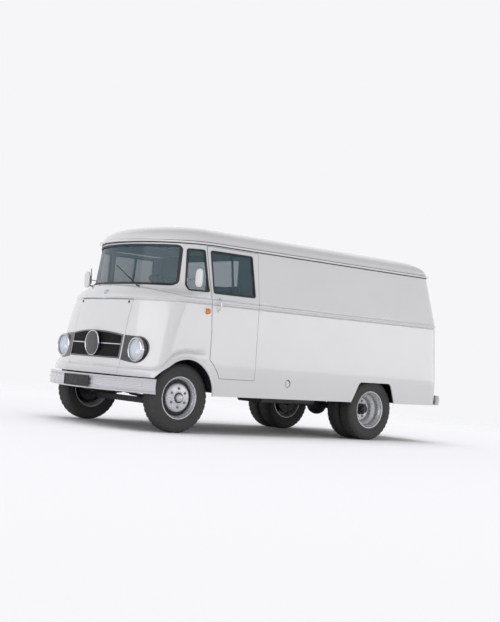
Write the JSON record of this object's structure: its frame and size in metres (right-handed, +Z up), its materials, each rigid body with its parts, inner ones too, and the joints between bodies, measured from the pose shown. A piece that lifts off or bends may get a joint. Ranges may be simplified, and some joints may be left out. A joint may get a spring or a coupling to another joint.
{
  "type": "delivery van",
  "caption": "Forward-control delivery van with a rounded nose, closed load body, twin rear wheels, opening cab and rear doors and steered front wheels.",
  "frame": {"origin": "middle of the footprint, on the ground", "axes": "+Z up, the nose faces -Y, the van's left side is +X"},
  "size_m": [2.26, 4.7565, 2.2729],
  "materials": {
    "body_paint": "gloss",
    "bumper_paint": "gloss",
    "cab_trim": "satin",
    "inner_paint": "satin",
    "cargo_board": "matte",
    "underbody": "satin",
    "spring_steel": "matte",
    "exhaust_steel": "matte",
    "cast_iron": "matte",
    "seat_cover": "satin",
    "window_glass": "gloss",
    "seal_rubber": "matte",
    "chrome": "mirror",
    "lamp_glass": "gloss",
    "grille_black": "satin",
    "tyre_rubber": "matte",
    "wheel_paint": "satin",
    "lever_steel": "satin",
    "wheel_plastic": "gloss"
  },
  "bodies": {
    "van": {"nose_panel": "body_paint", "windscreen_frame": "body_paint", "side_panel_left": "body_paint", "side_panel_right": "body_paint", "rear_frame": "body_paint", "roof_panel": "body_paint", "cab_floor": "inner_paint", "cargo_floor": "cargo_board", "bulkhead": "inner_paint", "wheel_housings": "underbody", "dashboard": "cab_trim", "seat_frames": "cab_trim", "seat_cushions": "seat_cover", "cab_glass": "window_glass", "window_seals": "seal_rubber", "headlamp_rims": "chrome", "lamp_lenses": "lamp_glass", "front_bumper": "bumper_paint", "rear_bumper": "bumper_paint", "chassis_frame": "underbody", "axles": "underbody", "leaf_springs": "spring_steel", "engine_gearbox": "cast_iron", "exhaust": "exhaust_steel", "fuel_tank": "underbody"},
    "bonnet_hatch": {"bonnet_hatch": "body_paint", "grille": "grille_black"},
    "filler_cap": {"filler_cap": "chrome"},
    "steering_wheel": {"steering_wheel": "wheel_plastic"},
    "tie_rod": {"tie_rod": "underbody"},
    "prop_shaft": {"prop_shaft": "underbody"},
    "clutch_pedal": {"clutch_pedal": "seal_rubber"},
    "brake_pedal": {"brake_pedal": "seal_rubber"},
    "accelerator_pedal": {"accelerator_pedal": "seal_rubber"},
    "gear_lever": {"gear_lever": "lever_steel"},
    "handbrake_lever": {"handbrake_lever": "lever_steel"},
    "cab_door_left": {"cab_door_left": "body_paint", "door_glass_left": "window_glass"},
    "sliding_pane_left": {"sliding_pane_left": "window_glass"},
    "cab_door_handle_left": {"cab_door_handle_left": "chrome"},
    "rear_door_left": {"rear_door_left": "body_paint"},
    "steering_knuckle_left": {"steering_knuckle_left": "underbody"},
    "front_wheel_left": {"front_wheel_left": "wheel_paint", "front_tyre_left": "tyre_rubber"},
    "rear_wheels_left": {"rear_wheel_left": "wheel_paint", "rear_tyres_left": "tyre_rubber"},
    "wiper_left": {"wiper_left": "chrome"},
    "mirror_left": {"mirror_left": "chrome"},
    "cab_door_right": {"cab_door_right": "body_paint", "door_glass_right": "window_glass"},
    "sliding_pane_right": {"sliding_pane_right": "window_glass"},
    "cab_door_handle_right": {"cab_door_handle_right": "chrome"},
    "rear_door_right": {"rear_door_right": "body_paint"},
    "steering_knuckle_right": {"steering_knuckle_right": "underbody"},
    "front_wheel_right": {"front_wheel_right": "wheel_paint", "front_tyre_right": "tyre_rubber"},
    "rear_wheels_right": {"rear_wheel_right": "wheel_paint", "rear_tyres_right": "tyre_rubber"},
    "wiper_right": {"wiper_right": "chrome"},
    "mirror_right": {"mirror_right": "chrome"}
  },
  "joints": [
    {"name": "cab_door_left_hinge", "type": "hinge", "parent": "van", "child": "cab_door_left", "pos_m": [1.009, -0.79399, 1.40162], "axis": [-0.0499, -0.0181, 0.9986], "range_deg": [0, 70]},
    {"name": "sliding_pane_left_track", "type": "slide", "parent": "cab_door_left", "child": "sliding_pane_left", "axis": [0, 0.9998, 0.0182], "range_m": [0, 0.24]},
    {"name": "cab_door_handle_left_pivot", "type": "hinge", "parent": "cab_door_left", "child": "cab_door_handle_left", "pos_m": [1.01, -1.34261, 1.43066], "axis": [1, 0, 0], "range_deg": [0, 25], "stiffness_Nm_per_rad": 2},
    {"name": "rear_door_left_hinge", "type": "hinge", "parent": "van", "child": "rear_door_left", "pos_m": [0.737, 2.23351, 1.45657], "axis": [0, 0.1566, -0.9877], "range_deg": [0, 100]},
    {"name": "steer_left", "type": "hinge", "parent": "van", "child": "steering_knuckle_left", "pos_m": [0.75, -1.6967, 0.362], "axis": [0, -0.0182, 0.9998], "range_deg": [-32, 32]},
    {"name": "front_wheel_left_spin", "type": "hinge", "parent": "steering_knuckle_left", "child": "front_wheel_left", "pos_m": [0.838, -1.6967, 0.362], "axis": [1, 0, 0], "continuous": true},
    {"name": "rear_wheels_left_spin", "type": "hinge", "parent": "van", "child": "rear_wheels_left", "pos_m": [0.844, 1.1533, 0.362], "axis": [1, 0, 0], "continuous": true},
    {"name": "mirror_left_swing", "type": "hinge", "parent": "van", "child": "mirror_left", "pos_m": [0.864, -1.6856, 1.59246], "axis": [0, -0.0182, 0.9998], "range_deg": [-35, 50]},
    {"name": "cab_door_right_hinge", "type": "hinge", "parent": "van", "child": "cab_door_right", "pos_m": [-1.009, -0.79399, 1.40162], "axis": [-0.0499, 0.0181, -0.9986], "range_deg": [0, 70]},
    {"name": "sliding_pane_right_track", "type": "slide", "parent": "cab_door_right", "child": "sliding_pane_right", "axis": [0, 0.9998, 0.0182], "range_m": [0, 0.24]},
    {"name": "cab_door_handle_right_pivot", "type": "hinge", "parent": "cab_door_right", "child": "cab_door_handle_right", "pos_m": [-1.01, -1.34261, 1.43066], "axis": [1, 0, 0], "range_deg": [0, 25], "stiffness_Nm_per_rad": 2},
    {"name": "rear_door_right_hinge", "type": "hinge", "parent": "van", "child": "rear_door_right", "pos_m": [-0.737, 2.23351, 1.45657], "axis": [0, -0.1566, 0.9877], "range_deg": [0, 100]},
    {"name": "steer_right", "type": "hinge", "parent": "van", "child": "steering_knuckle_right", "pos_m": [-0.75, -1.6967, 0.362], "axis": [0, -0.0182, 0.9998], "range_deg": [-32, 32]},
    {"name": "front_wheel_right_spin", "type": "hinge", "parent": "steering_knuckle_right", "child": "front_wheel_right", "pos_m": [-0.838, -1.6967, 0.362], "axis": [1, 0, 0], "continuous": true},
    {"name": "rear_wheels_right_spin", "type": "hinge", "parent": "van", "child": "rear_wheels_right", "pos_m": [-0.844, 1.1533, 0.362], "axis": [1, 0, 0], "continuous": true},
    {"name": "mirror_right_swing", "type": "hinge", "parent": "van", "child": "mirror_right", "pos_m": [-0.864, -1.6856, 1.59246], "axis": [0, -0.0182, 0.9998], "range_deg": [-50, 35]},
    {"name": "wiper_left_sweep", "type": "hinge", "parent": "van", "child": "wiper_left", "pos_m": [0.45, -2.00139, 1.49272], "axis": [-0.1858, 0.9793, -0.08], "range_deg": [0, 58]},
    {"name": "wiper_right_sweep", "type": "hinge", "parent": "van", "child": "wiper_right", "pos_m": [-0.45, -2.00139, 1.49272], "axis": [0.4561, 0.887, -0.0725], "range_deg": [0, 58]},
    {"name": "bonnet_hatch_hinge", "type": "hinge", "parent": "van", "child": "bonnet_hatch", "pos_m": [0, -2.20156, 0.53892], "axis": [1, 0, 0], "range_deg": [0, 60]},
    {"name": "filler_cap_twist", "type": "hinge", "parent": "van", "child": "filler_cap", "pos_m": [0.99, -0.28224, 0.59377], "axis": [1, 0, 0], "range_deg": [0, 90]},
    {"name": "steering_wheel_turn", "type": "hinge", "parent": "van", "child": "steering_wheel", "pos_m": [0.4, -1.60476, 1.54692], "axis": [0, 0.3901, 0.9208], "range_deg": [-544, 544]},
    {"name": "tie_rod_ball", "type": "hinge", "parent": "steering_knuckle_left", "child": "tie_rod", "pos_m": [0.745, -1.53716, 0.38896], "axis": [0, -0.0182, 0.9998], "range_deg": [-32, 32]},
    {"name": "prop_shaft_spin", "type": "hinge", "parent": "van", "child": "prop_shaft", "pos_m": [0, -0.80038, 0.48635], "axis": [0, 0.998, -0.0627], "continuous": true},
    {"name": "clutch_pedal_press", "type": "hinge", "parent": "van", "child": "clutch_pedal", "pos_m": [0.51, -1.86555, 1.03711], "axis": [-1, 0, 0], "range_deg": [0, 16], "stiffness_Nm_per_rad": 25},
    {"name": "brake_pedal_press", "type": "hinge", "parent": "van", "child": "brake_pedal", "pos_m": [0.43, -1.86555, 1.03711], "axis": [-1, 0, 0], "range_deg": [0, 16], "stiffness_Nm_per_rad": 25},
    {"name": "accelerator_pedal_press", "type": "hinge", "parent": "van", "child": "accelerator_pedal", "pos_m": [0.348, -1.86555, 1.03711], "axis": [-1, 0, 0], "range_deg": [0, 16], "stiffness_Nm_per_rad": 25},
    {"name": "gear_lever_shift", "type": "hinge", "parent": "van", "child": "gear_lever", "pos_m": [0.34, -1.6918, 0.83223], "axis": [1, 0, 0], "range_deg": [-12, 12]},
    {"name": "handbrake_pull", "type": "hinge", "parent": "van", "child": "handbrake_lever", "pos_m": [0.318, -1.53216, 0.85313], "axis": [-1, 0, 0], "range_deg": [0, 28]}
  ],
  "couplings": [
    {"joint": "steer_right", "follows": "steer_left", "ratio": 1},
    {"joint": "tie_rod_ball", "follows": "steer_left", "ratio": -1},
    {"joint": "steering_wheel_turn", "follows": "steer_left", "ratio": 17},
    {"joint": "wiper_right_sweep", "follows": "wiper_left_sweep", "ratio": 1},
    {"joint": "rear_wheels_right_spin", "follows": "rear_wheels_left_spin", "ratio": 1},
    {"joint": "prop_shaft_spin", "follows": "rear_wheels_left_spin", "ratio": 4.3}
  ]
}
